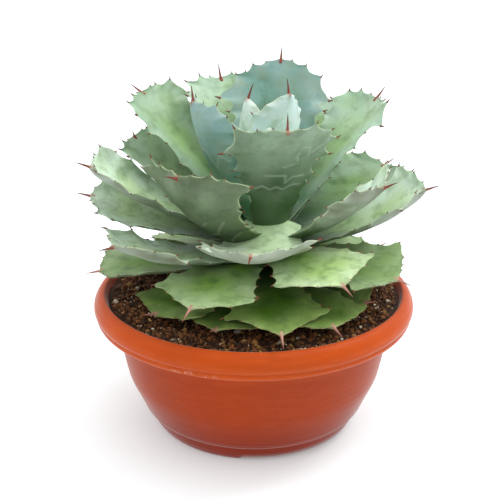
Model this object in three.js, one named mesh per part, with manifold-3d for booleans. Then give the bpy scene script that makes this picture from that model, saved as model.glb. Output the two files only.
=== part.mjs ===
// A potted agave. Millimetres, +Z up: the pot stands on z = 0 with its axis on Z, and the plant's face is
// toward -Y.
//
// Every leaf is one closed solid with its marginal teeth and end spine. It starts inside the stem and is
// built round a bent midrib. Where leaves crowd at the stem, a lower leaf gives way to the ones above it.
import * as THREE from 'three';
import { mergeVertices } from 'three/addons/utils/BufferGeometryUtils.js';
import Module from 'manifold-3d';

const wasm = await Module();
wasm.setup();

// ---- Driving dimensions (mm and degrees) ----

const GAP = 0.3; // clearance between pieces that touch
const LEAF_GAP = 1.8; // growth of a leaf's skin, row by row, that gives its neighbours that clearance

const POT = {
  rimRadius: 110,
  rimInnerRadius: 102,
  height: 97,
  rimWidestHeight: 88,
  lipRadius: 107,
  lipHeight: 79,
  neckRadius: 95.5, // under the lip
  bellyRadius: 88,
  bellyHeight: 40,
  shoulderRadius: 83,
  shoulderHeight: 28,
  footTopRadius: 74,
  footTopHeight: 12.5,
  footRadius: 66.5,
  footInnerRadius: 63,
  wall: 3.5,
  floorUnderside: 9,
  floorTop: 12,
  footGapHeight: 3.2, // the two openings under the foot ring
  footGapStart: -98,
  footGapSweep: 97,
  drainHoles: 5,
  drainRadius: 5,
  drainCircle: 42,
  turns: 48, // flats round the pot
};

const SOIL = { edgeRadius: 98, edgeHeight: 92, middleHeight: 94.5, turns: 48 };

const STEM = { bottom: 62, top: 158, bottomRadius: 13, topRadius: 7, sides: 14 };

// The rosette stands right of the pot's axis and leans right as it rises.
const LEAN = { start: 90, offset: 4, perMm: 0.09 };

// What a leaf has unless its own entry says otherwise. Angles are in degrees, widths across the blade
// without teeth.
const LEAF = {
  spine: 13, // length of the end spine
  hook: 25, // how far the spine turns up from the blade
  widest: 0.8, // where along the blade it is widest
  neck: 0.5, // width at the stem, as a part of the greatest width
  flare: 1.4, // how late the blade widens from there: 1 is evenly
  taper: 2.1, // how round the end is: larger is blunter
  cup: 0.28, // rise of the margins over the midrib, as a part of the half width
  neckCup: 0, // the same at the stem
  roll: 0, // turn of the blade round its midrib
  thick: 6, // thickness at the stem
};
const ROOT_RADIUS = 9; // leaves start this far from the rosette's axis, inside the stem
const EDGE = 0.8; // thickness of the margin
const TEETH = 6; // down each margin
const TOOTH = 0.075; // how far a tooth stands out, as a part of the leaf's width

// Leaves from the heart down. turn: direction seen from above (0 is +X, 90 is +Y). rise: slope at the
// stem, and bend: how much steeper or flatter the tip is. height: where the midrib leaves the rosette's
// axis.
const LEAVES = {
  leaf_heart_1: {
    turn: 180, rise: 84, bend: 4, length: 62, width: 22, height: 158, cup: 0.6, spine: 7, thick: 3,
  },
  leaf_heart_2: {
    turn: -150, rise: 79, bend: 12, length: 76, width: 38, height: 157, cup: 0.5, widest: 0.6,
  },
  leaf_heart_3: {
    turn: -51, rise: 85, bend: -6, length: 80, width: 40, height: 158, cup: 0.5, spine: 12,
    widest: 0.66,
  },

  leaf_upper_1: {
    turn: 80, rise: 67, bend: -6, length: 103, width: 59, height: 152, cup: 0.22, spine: 14,
    hook: 10, widest: 0.74, roll: -3, taper: 2.2,
  },
  leaf_upper_2: {
    turn: -150, rise: 49, bend: 30, length: 97, width: 47, height: 151, cup: 0.44, hook: 5,
    widest: 0.8,
  },
  leaf_upper_3: {
    turn: 116, rise: 57, bend: -16, length: 103, width: 56, height: 150, hook: 30, taper: 3.4,
    widest: 0.82,
  },
  leaf_upper_4: {
    turn: 48, rise: 45, bend: -10, length: 96, width: 56, height: 149, cup: 0.25, taper: 3.4,
    widest: 0.82,
  },
  leaf_upper_5: {
    turn: 24, rise: 46, bend: 0, length: 104, width: 52, height: 148, cup: 0.24, roll: 2,
    widest: 0.86, hook: 5, taper: 2.6,
  },
  leaf_upper_6: {
    turn: 156, rise: 38, bend: 10, length: 115, width: 55, height: 148, cup: 0.26, roll: -6,
    widest: 0.88, hook: -20, taper: 2.6,
  },
  leaf_upper_7: {
    turn: -78, rise: 69, bend: -23, length: 92, width: 58, height: 145, cup: 0.11, hook: 50,
    neck: 0.42, flare: 1.2, widest: 0.8, roll: 1, taper: 3.4,
  },

  leaf_middle_1: {
    turn: -97, rise: -22, bend: 62, length: 92, width: 64, height: 151, cup: 0.3, neckCup: -0.3,
    hook: -52, neck: 0.5, flare: 1.5, roll: 2, widest: 0.8, taper: 0.85,
  },
  leaf_middle_2: {
    turn: 158, rise: 27, bend: 6, length: 104, width: 60, height: 143, cup: 0.2, roll: -6,
    spine: 5, hook: 40, widest: 0.84, taper: 3,
  },
  leaf_middle_3: { turn: 96, rise: 30, bend: 0, length: 102, width: 58, height: 142, widest: 0.8 },
  leaf_middle_4: { turn: 66, rise: 24, bend: 6, length: 100, width: 58, height: 141, widest: 0.8 },
  leaf_middle_5: {
    turn: -130, rise: 12, bend: 60, length: 102, width: 70, height: 138, cup: 0.32, neckCup: 0.8,
    hook: -60, neck: 0.35, roll: 1, widest: 0.88, taper: 2.8,
  },
  leaf_middle_6: { turn: 128, rise: 22, bend: 6, length: 100, width: 58, height: 140, widest: 0.8 },
  leaf_middle_7: {
    turn: -32, rise: 20, bend: 27, length: 92, width: 60, height: 137, cup: 0.34, roll: 3,
    neck: 0.42, widest: 0.88, hook: -20, taper: 2.2,
  },
  leaf_middle_8: {
    turn: 34, rise: 13, bend: 10, length: 99, width: 56, height: 138, hook: 0, taper: 3,
    widest: 0.84,
  },
  leaf_middle_9: {
    turn: -172, rise: 15, bend: 23, length: 119, width: 57, height: 139.5, cup: 0.3, neck: 0.47,
    widest: 0.9, hook: -20, roll: -3, taper: 2.2,
  },
  leaf_middle_10: {
    turn: -5, rise: 7, bend: 34, length: 106, width: 59, height: 133, cup: 0.32, neck: 0.55,
    roll: 3, widest: 0.88, hook: -25, taper: 2.2,
  },
  leaf_middle_11: {
    turn: 179, rise: 4, bend: 22, length: 113, width: 61, height: 137, cup: 0.3, neck: 0.35,
    widest: 0.82, roll: -12, hook: -15, taper: 2.2,
  },
  leaf_middle_12: {
    turn: -145, rise: -2, bend: 33, length: 111, width: 65, height: 130, cup: 0.2, neckCup: -0.1,
    widest: 0.82, hook: -35, roll: 3, taper: 1.8,
  },
  leaf_middle_13: { turn: 82, rise: 4, bend: 10, length: 95, width: 58, height: 131, widest: 0.8 },
  leaf_middle_14: { turn: 50, rise: 2, bend: 10, length: 98, width: 56, height: 130, widest: 0.8 },
  leaf_middle_15: { turn: 112, rise: 3, bend: 10, length: 98, width: 58, height: 130, widest: 0.8 },
  leaf_middle_16: { turn: 146, rise: 2, bend: 14, length: 98, width: 56, height: 129, widest: 0.8 },

  leaf_lower_1: {
    turn: -61, rise: 12, bend: -20, length: 90, width: 68, height: 129, cup: 0.03, roll: 5,
    hook: -10, widest: 0.76, neck: 0.42, flare: 1.7, taper: 1.1,
  },
  leaf_lower_2: {
    turn: -29, rise: 6, bend: -15, length: 90, width: 64, height: 123, cup: 0.14, hook: -5,
    widest: 0.82, roll: 4, taper: 1.8,
  },
  leaf_lower_3: {
    turn: -117, rise: 10, bend: -27, length: 95, width: 65, height: 124, cup: -0.05, hook: -10,
    widest: 0.8, neck: 0.42, flare: 1.7, taper: 1.1,
  },
  leaf_lower_4: {
    turn: -174, rise: -2, bend: -3, length: 103, width: 56, height: 120, cup: 0.2, widest: 0.88,
    hook: -5, roll: -1, taper: 2,
  },
  leaf_lower_5: {
    turn: -84, rise: 1, bend: -17, length: 92, width: 59, height: 117, cup: -0.06, hook: -10,
    widest: 0.75, neck: 0.42, flare: 1.7, taper: 1.1,
  },
  leaf_lower_6: { turn: 66, rise: 0, bend: -10, length: 96, width: 58, height: 116, cup: 0.1, widest: 0.8 },
  leaf_lower_7: {
    turn: 130, rise: 0, bend: -10, length: 94, width: 58, height: 117, cup: 0.1, widest: 0.8,
  },
  leaf_lower_8: { turn: 2, rise: 0, bend: -8, length: 80, width: 54, height: 114, cup: 0.2, widest: 0.8 },
  leaf_lower_9: { turn: 98, rise: 0, bend: -10, length: 93, width: 58, height: 113, cup: 0.1, widest: 0.8 },
  leaf_lower_10: { turn: 30, rise: 0, bend: -8, length: 88, width: 54, height: 112, cup: 0.2, widest: 0.8 },
  leaf_lower_11: {
    turn: 160, rise: 0, bend: -8, length: 88, width: 56, height: 111, cup: 0.2, widest: 0.8,
  },
  leaf_lower_12: {
    turn: -62, rise: 2, bend: -12, length: 86, width: 57, height: 110, cup: 0, hook: -5,
    widest: 0.84, taper: 1.5,
  },
  leaf_lower_13: {
    turn: -139, rise: 2, bend: -12, length: 84, width: 64, height: 108, cup: 0.04, widest: 0.84,
    roll: 4, taper: 1.4,
  },
  leaf_lower_14: {
    turn: -109, rise: 2, bend: -8, length: 82, width: 56, height: 106, cup: 0, taper: 1.6,
    widest: 0.78,
  },
  leaf_lower_15: {
    turn: -30, rise: 1, bend: -8, length: 71, width: 50, height: 106, cup: 0.1, widest: 0.8,
  },
};

// ---- Small helpers ----

const radians = THREE.MathUtils.degToRad;
const smooth = THREE.MathUtils.smoothstep;

// Where the rosette's leaning axis is at a height.
function axisAt(z) {
  return new THREE.Vector3(LEAN.offset + (z - LEAN.start) * LEAN.perMm, 0, z);
}

// A closed geometry as a solid that can be cut.
function solidOf(geometry) {
  const bare = geometry.index ? geometry.toNonIndexed() : geometry.clone();
  bare.deleteAttribute('normal');
  bare.deleteAttribute('uv');
  const merged = mergeVertices(bare, 1e-4);
  const vertProperties = Float32Array.from(merged.attributes.position.array);
  const triVerts = Uint32Array.from(merged.index.array);
  return new wasm.Manifold(new wasm.Mesh({ numProp: 3, vertProperties, triVerts }));
}

function geometryOf(solid) {
  const { vertProperties, triVerts } = solid.getMesh();
  const geometry = new THREE.BufferGeometry();
  geometry.setAttribute('position', new THREE.BufferAttribute(vertProperties, 3));
  geometry.setIndex(new THREE.BufferAttribute(triVerts, 1));
  geometry.computeVertexNormals();
  return geometry;
}

// The largest of a solid's separate bodies.
function largestBody(solid) {
  return solid.decompose().reduce((best, body) => (body.volume() > best.volume() ? body : best));
}

// A closed skin over rings of equal numbers of points, with a point at each end.
function skin(rings, startPoint, endPoint) {
  const around = rings[0].length;
  const points = [...rings.flat(), startPoint, endPoint];
  const first = rings.length * around;
  const faces = [];
  for (let r = 0; r + 1 < rings.length; r++) {
    for (let k = 0; k < around; k++) {
      const a = r * around + k;
      const b = r * around + ((k + 1) % around);
      faces.push(a, b, b + around, a, b + around, a + around);
    }
  }
  for (let k = 0; k < around; k++) {
    const next = (k + 1) % around;
    faces.push(first, next, k);
    faces.push(first - around + k, first - around + next, first + 1);
  }
  const geometry = new THREE.BufferGeometry().setFromPoints(points);
  geometry.setIndex(faces);
  return geometry;
}

// ---- Materials ----

const matt = (color, roughness) => new THREE.MeshStandardMaterial({ color, roughness, metalness: 0 });
const MATERIALS = {
  pot: matt('#c4592d', 0.5),
  soil: matt('#35241a', 0.95),
  stem: matt('#8a8256', 0.8),
  heart: matt('#a9cdb8', 0.6),
  upper: matt('#7fa792', 0.55),
  middle: matt('#86a67a', 0.55),
  lower: matt('#5d8a4c', 0.5),
};

// ---- Pot ----

// Outline of the pot's wall from the middle of the floor's underside, out, up over the rolled rim and
// back inside.
function potOutline() {
  const p = POT;
  const inner = p.neckRadius - p.wall;
  const outline = new THREE.Path();
  outline.moveTo(0, p.floorUnderside);
  outline.lineTo(p.footInnerRadius + 1, p.floorUnderside);
  outline.lineTo(p.footInnerRadius, 0);
  outline.lineTo(p.footRadius, 0);
  outline.quadraticCurveTo(p.footRadius + 3.5, 2.5, p.footTopRadius, p.footTopHeight);
  outline.lineTo(p.shoulderRadius, p.shoulderHeight);
  outline.quadraticCurveTo(p.bellyRadius - 2, p.shoulderHeight + 5, p.bellyRadius, p.bellyHeight);
  outline.lineTo(p.neckRadius, p.lipHeight + 1);
  outline.lineTo(p.lipRadius, p.lipHeight);
  outline.quadraticCurveTo(p.rimRadius, p.lipHeight + 3, p.rimRadius, p.rimWidestHeight);
  outline.quadraticCurveTo(p.rimRadius - 1.5, p.height, p.rimInnerRadius + 1.5, p.height);
  outline.lineTo(p.rimInnerRadius, p.height - 1);
  outline.lineTo(inner + 3, p.lipHeight + 6);
  outline.lineTo(inner, p.lipHeight - 4);
  outline.lineTo(p.bellyRadius - p.wall, p.bellyHeight);
  outline.lineTo(p.shoulderRadius - p.wall - 1, p.shoulderHeight + 1);
  outline.lineTo(p.footTopRadius - p.wall, p.footTopHeight + 3);
  outline.lineTo(p.footTopRadius - p.wall - 5, p.floorTop);
  outline.lineTo(0, p.floorTop);
  return outline.getPoints(3);
}

// A solid of revolution about Z from an outline of (radius, height) points.
function turned(outline, turns) {
  return new THREE.LatheGeometry(outline, turns).rotateX(Math.PI / 2);
}

// The part of a ring under the foot that is cut away so that water can run out.
function footOpening(start) {
  const sector = new THREE.Shape();
  const outer = POT.footTopRadius + 5;
  sector.absarc(0, 0, outer, radians(start), radians(start + POT.footGapSweep), false);
  sector.absarc(0, 0, POT.footInnerRadius - 5, radians(start + POT.footGapSweep), radians(start), true);
  const depth = POT.footGapHeight + 1;
  const block = new THREE.ExtrudeGeometry(sector, { depth, bevelEnabled: false, curveSegments: 10 });
  return block.translate(0, 0, -1);
}

function drainHole(turn) {
  const hole = new THREE.CylinderGeometry(POT.drainRadius, POT.drainRadius, 20, 12).rotateX(Math.PI / 2);
  const angle = radians(turn);
  return hole.translate(POT.drainCircle * Math.cos(angle), POT.drainCircle * Math.sin(angle), POT.floorTop);
}

function makePot() {
  let pot = solidOf(turned(potOutline(), POT.turns));
  for (const start of [POT.footGapStart, POT.footGapStart + 180]) {
    pot = pot.subtract(solidOf(footOpening(start)));
  }
  for (let k = 0; k < POT.drainHoles; k++) {
    pot = pot.subtract(solidOf(drainHole((360 / POT.drainHoles) * k)));
  }
  return pot;
}

// ---- Soil and stem ----

// The mix fills the pot to just under the rim and rises a little to the middle.
function makeSoil(stemSpace) {
  const p = POT;
  const inner = p.neckRadius - p.wall - GAP;
  const outline = new THREE.Path();
  outline.moveTo(0, p.floorTop + GAP);
  outline.lineTo(p.footTopRadius - p.wall - 5 - GAP, p.floorTop + GAP);
  outline.lineTo(p.footTopRadius - p.wall - 2 * GAP, p.footTopHeight + 3 + GAP);
  outline.lineTo(p.shoulderRadius - p.wall - 1 - 2 * GAP, p.shoulderHeight + 1);
  outline.lineTo(p.bellyRadius - p.wall - 2 * GAP, p.bellyHeight);
  outline.lineTo(inner - GAP, p.lipHeight - 4);
  outline.lineTo(inner + 3 - GAP, p.lipHeight + 6);
  outline.lineTo(SOIL.edgeRadius, SOIL.edgeHeight);
  outline.quadraticCurveTo(SOIL.edgeRadius / 2, SOIL.middleHeight, 0, SOIL.middleHeight);
  return solidOf(turned(outline.getPoints(4), SOIL.turns)).subtract(stemSpace);
}

// The stem follows the rosette's leaning axis. Grown by a margin, it is the space that it needs.
function makeStem(margin) {
  const ring = (z, radius) => {
    const centre = axisAt(z);
    return Array.from({ length: STEM.sides }, (_, k) => {
      const angle = (2 * Math.PI * k) / STEM.sides;
      return new THREE.Vector3(radius * Math.cos(angle), radius * Math.sin(angle), 0).add(centre);
    });
  };
  const { bottom, top, bottomRadius, topRadius } = STEM;
  const rings = [
    ring(bottom - margin, bottomRadius * 0.6 + margin),
    ring(bottom + 12, bottomRadius + margin),
    ring(top - 5, topRadius + margin),
    ring(top + margin, topRadius * 0.5 + margin),
  ];
  return solidOf(skin(rings, axisAt(bottom - 4 - margin), axisAt(top + 3 + margin)));
}

// ---- Leaves ----

// Half the blade's width at a part s of its length, without teeth.
function halfWidth(leaf, s) {
  const end = Math.max(0, (s - leaf.widest) / (1 - leaf.widest));
  const shape = s < leaf.widest
    ? leaf.neck + (1 - leaf.neck) * (s / leaf.widest) ** leaf.flare
    : 1 - end ** leaf.taper;
  return (shape * leaf.width) / 2;
}

// Points along the bent midrib, each with its slope in degrees.
function midrib(leaf, steps) {
  const points = [];
  let out = ROOT_RADIUS;
  let up = 0;
  for (let k = 0; k <= steps; k++) {
    const slope = leaf.rise + leaf.bend * (k / steps) ** 1.3;
    points.push({ out, up, slope });
    const middle = leaf.rise + leaf.bend * ((k + 0.5) / steps) ** 1.3;
    out += (leaf.length / steps) * Math.cos(radians(middle));
    up += (leaf.length / steps) * Math.sin(radians(middle));
  }
  return points;
}

// One leaf as a closed solid. Its rows fall in turn on the teeth and between them. Grown by a margin, it
// is the space that the leaf needs.
function makeLeaf(entry, margin = 0) {
  const leaf = { ...LEAF, ...entry };
  const turn = radians(leaf.turn);
  const outward = new THREE.Vector3(Math.cos(turn), Math.sin(turn), 0);
  const sideways = new THREE.Vector3(-Math.sin(turn), Math.cos(turn), 0);
  const vertical = new THREE.Vector3(0, 0, 1);
  const rows = 2 * TEETH;
  const rib = midrib(leaf, rows);
  const root = axisAt(leaf.height);

  const along = (slope) => outward.clone().multiplyScalar(Math.cos(radians(slope)))
    .addScaledVector(vertical, Math.sin(radians(slope)));
  const pointOf = ({ out, up }) => root.clone().addScaledVector(outward, out).addScaledVector(vertical, up);

  // The blade's own directions at a row: across it, and up from its face.
  const frameAt = (slope) => {
    const face = outward.clone().multiplyScalar(-Math.sin(radians(slope)))
      .addScaledVector(vertical, Math.cos(radians(slope)));
    const roll = radians(leaf.roll);
    return {
      across: sideways.clone().multiplyScalar(Math.cos(roll)).addScaledVector(face, Math.sin(roll)),
      face: face.clone().multiplyScalar(Math.cos(roll)).addScaledVector(sideways, -Math.sin(roll)),
    };
  };

  const section = (row) => {
    const s = row / rows;
    const { across, face } = frameAt(rib[row].slope);
    const half = halfWidth(leaf, s) + margin;
    const tooth = row % 2 ? leaf.width * TOOTH * smooth(s, 0.1, 0.4) : 0;
    const cup = leaf.neckCup + (leaf.cup - leaf.neckCup) * smooth(s, 0, 0.7);
    const thick = leaf.thick * (1 - 0.75 * s);
    const at = (side, down) => {
      const rise = cup * half * Math.abs(side) ** 2.1 - down;
      const reach = side * (half + (Math.abs(side) === 1 ? tooth : 0));
      return pointOf(rib[row]).addScaledVector(across, reach).addScaledVector(face, rise);
    };
    const under = EDGE + margin + thick * (1 - 0.5 ** 2.2);
    const [right, left] = [1, -1].map((side) => [at(side, EDGE + margin), at(side, -margin)]);
    const faces = [at(-0.5, under), at(0.5, under), at(0.5, -margin), at(-0.5, -margin)];
    if (!margin) return [at(-1, EDGE / 2), faces[0], faces[1], at(1, EDGE / 2), faces[2], faces[3]];
    return [left[0], faces[0], faces[1], ...right, faces[2], faces[3], left[1]];
  };

  const rings = [];
  for (let row = 0; row < rows; row++) {
    rings.push(section(row));
  }
  // The end spine: a slim cone that starts inside the blade's tip.
  const last = rib[rows];
  const { across, face } = frameAt(last.slope);
  const thickness = EDGE + leaf.thick / 4;
  const tip = pointOf(last).addScaledVector(face, -thickness / 2);
  const around = rings[0].length;
  const spineBase = Array.from({ length: around }, (_, k) => {
    const angle = Math.PI + (2 * Math.PI * (k + (margin ? 0.5 : 0))) / around;
    return tip.clone().addScaledVector(across, (1.7 + margin) * Math.cos(angle))
      .addScaledVector(face, (1.1 + margin) * Math.sin(angle));
  });
  rings.push(spineBase);
  const spineEnd = tip.clone().addScaledVector(along(last.slope + leaf.hook), leaf.spine + margin);
  const start = pointOf(rib[0]).addScaledVector(along(rib[0].slope), -1 - margin)
    .addScaledVector(face, -leaf.thick / 2);
  return solidOf(skin(rings, start, spineEnd));
}

// Each leaf gives way to the stem and to the leaves above it.
function makeLeaves(stemSpace) {
  const made = {};
  const spaces = [stemSpace];
  for (const [name, entry] of Object.entries(LEAVES)) {
    const whole = makeLeaf(entry);
    const cut = spaces.reduce((solid, space) => solid.subtract(space), whole);
    made[name] = largestBody(cut);
    spaces.push(makeLeaf(entry, LEAF_GAP));
  }
  return made;
}

// ---- The part ----

const agave = new THREE.Group();
const plant = new THREE.Group();
agave.add(plant);

function addMesh(group, name, solid, material) {
  const mesh = new THREE.Mesh(geometryOf(solid), material);
  mesh.name = name;
  group.add(mesh);
}

const stemSpace = makeStem(GAP);
addMesh(agave, 'pot', makePot(), MATERIALS.pot);
addMesh(agave, 'soil', makeSoil(stemSpace), MATERIALS.soil);
addMesh(plant, 'stem', makeStem(0), MATERIALS.stem);
for (const [name, solid] of Object.entries(makeLeaves(stemSpace))) {
  const tier = name.split('_')[1];
  addMesh(plant, name, solid, MATERIALS[tier]);
}

export default agave;
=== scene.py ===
"""A potted agave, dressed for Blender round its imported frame. Metres, +Z up, the pot's axis on Z."""

import itertools
import math

import bpy
import numpy as np
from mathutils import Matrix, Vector


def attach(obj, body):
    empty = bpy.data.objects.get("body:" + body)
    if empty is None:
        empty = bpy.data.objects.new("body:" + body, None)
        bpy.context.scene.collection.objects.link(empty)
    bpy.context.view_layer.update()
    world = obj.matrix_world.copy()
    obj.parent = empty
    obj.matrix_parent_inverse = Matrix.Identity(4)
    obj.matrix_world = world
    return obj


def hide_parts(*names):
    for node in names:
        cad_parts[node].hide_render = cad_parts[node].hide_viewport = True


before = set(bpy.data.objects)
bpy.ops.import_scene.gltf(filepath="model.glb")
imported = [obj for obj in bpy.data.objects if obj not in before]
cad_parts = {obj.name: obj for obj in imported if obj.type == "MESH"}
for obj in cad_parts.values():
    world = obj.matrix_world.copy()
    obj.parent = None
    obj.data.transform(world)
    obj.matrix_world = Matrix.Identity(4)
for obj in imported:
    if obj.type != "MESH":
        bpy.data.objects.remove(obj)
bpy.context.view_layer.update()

MM = 0.001
BODY = "root"

# ---- Camera, light and floor ----

CAMERA_ELEVATION = 21.2  # degrees that the camera looks down
CAMERA_DISTANCE = 0.8
CAMERA_TARGET = Vector((-0.0025, 0.0, 0.124))
CAMERA_LENS = 84.3  # mm on a 36 mm sensor

# The surroundings are a white studio: brightest overhead, lit at the back and sides, dim behind the camera.
SKY_FRONT = 0.06
SKY_OVERHEAD = 1.6
SKY_BACK = 0.6
SKY_SIDES = 0.7
KEY_LIGHT = dict(place=(1.2, 0.3, 1.8), target=Vector((0, 0, 0.12)), size=0.7, watts=15.0)

# ---- Pot (mm) ----

POT_FLOOR = 12.0
POT_OUTLINE_OUTER = [
    # (radius, height) from the foot's inner edge round the outside to the rim's inner edge
    (63.0, 0.0), (66.3, 0.0), (67.2, 0.5), (69.6, 3.2), (72.0, 7.4), (73.6, 11.4),
    (74.0, 12.2), (74.5, 12.5), (75.1, 12.6), (76.4, 14.4), (76.7, 15.2), (77.2, 15.4), (77.6, 16.0),
    (82.4, 27.0), (84.2, 30.6), (85.8, 34.2), (87.2, 37.8), (88.0, 40.2), (89.6, 47.5),
    (91.6, 57.5), (93.6, 67.5), (95.3, 78.2), (96.0, 79.6), (97.4, 80.0),
    (105.2, 79.0), (106.6, 79.2), (107.8, 79.9), (108.5, 81.2), (108.6, 82.6), (108.2, 83.6), (108.3, 84.0),
    (109.3, 84.6), (109.9, 86.2), (110.0, 88.0), (109.6, 90.2), (108.9, 91.8), (108.5, 92.3), (108.2, 92.9),
    (107.2, 94.6), (105.9, 95.9), (104.4, 96.7), (103.2, 97.0), (102.4, 96.8), (102.0, 96.1),
]
POT_OUTLINE_INNER = [
    # back down the inside and in along the floor
    (101.6, 94.6), (99.6, 90.5), (95.2, 85.0), (92.2, 77.0), (91.6, 74.0), (84.6, 40.0), (78.8, 29.0),
    (70.6, 15.6), (68.6, 13.2), (65.6, POT_FLOOR), (30.0, POT_FLOOR),
]
POT_UNDERSIDE_HEIGHT = 9.0
POT_UNDERSIDE = [(30.0, POT_UNDERSIDE_HEIGHT), (62.6, POT_UNDERSIDE_HEIGHT), (63.8, 8.6)]
POT_SEGMENTS = 288
FOOT_GAP_START = -98.0  # degrees, and again half a turn on
FOOT_GAP_SWEEP = 97.0
FOOT_GAP_END = 1.2  # degrees over which it rises at each end
FOOT_GAP_HEIGHT = 3.2
FOOT_RING = (62.9, 71.0)
LIP_HEIGHT = 79.0
SCUFF_RADIUS = 108.2  # the lip's lower edge, which is scuffed in front
SCUFF_HEIGHT = 80.8
DRAIN_HOLES = 5
DRAIN_CIRCLE = 42.0
DRAIN_RADIUS = 5.0

# ---- Soil (mm) ----

SOIL_EDGE = 92.0
SOIL_MIDDLE = 94.0
SOIL_RADIUS = 99.8
SOIL_FLOOR = 12.6
# (radius, height) where it lies against the inside of the pot, from the floor up
SOIL_WALL = [(68.0, SOIL_FLOOR), (77.8, 29.5), (83.6, 40.5), (90.6, 74.0), (94.4, 85.0)]
GRAINS = 11000

# ---- The rosette (mm, degrees) ----

# The stem leans: its axis is LEAN_OFFSET off the pot's at LEAN_START up, and moves on by LEAN_PER_MM.
LEAN_START = 90.0
LEAN_OFFSET = 4.0
LEAN_PER_MM = 0.09
STEM_FOOT = 60.0
STEM_SHOULDER = 74.0
STEM_TOP = 158.0
STEM_RADIUS = 13.0  # at its shoulder

ROOT_RADIUS = 9.0  # how far from the axis a leaf starts
EDGE = 0.8  # a blade's thickness at its margin
MIDRIB_END = 1.15  # how far the midrib is worked out, as a part of the leaf's length
MIDRIB_STEPS = 276

# What a leaf has unless its own entry says otherwise. turn: its heading. rise and bend: its midrib's slope at
# the stem, and what the slope gains by the tip. height: where it leaves the stem. widest: the part of its
# length that has the full width. neck: its width at the stem, as a part of that. flare: how late it widens.
# taper: how blunt its end is. neckCup and cup: how far its margins rise, as a part of the half width, at the
# stem and further out. roll: its turn about its midrib. thick: its thickness at the stem. spine: its end
# spine's length. hook: how far that spine turns up from the midrib.
LEAF = dict(
    spine=13, hook=25, widest=0.8, neck=0.5, flare=1.4, taper=2.1, cup=0.28, neckCup=0, roll=0, thick=6,
    look="pale",
)

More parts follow.
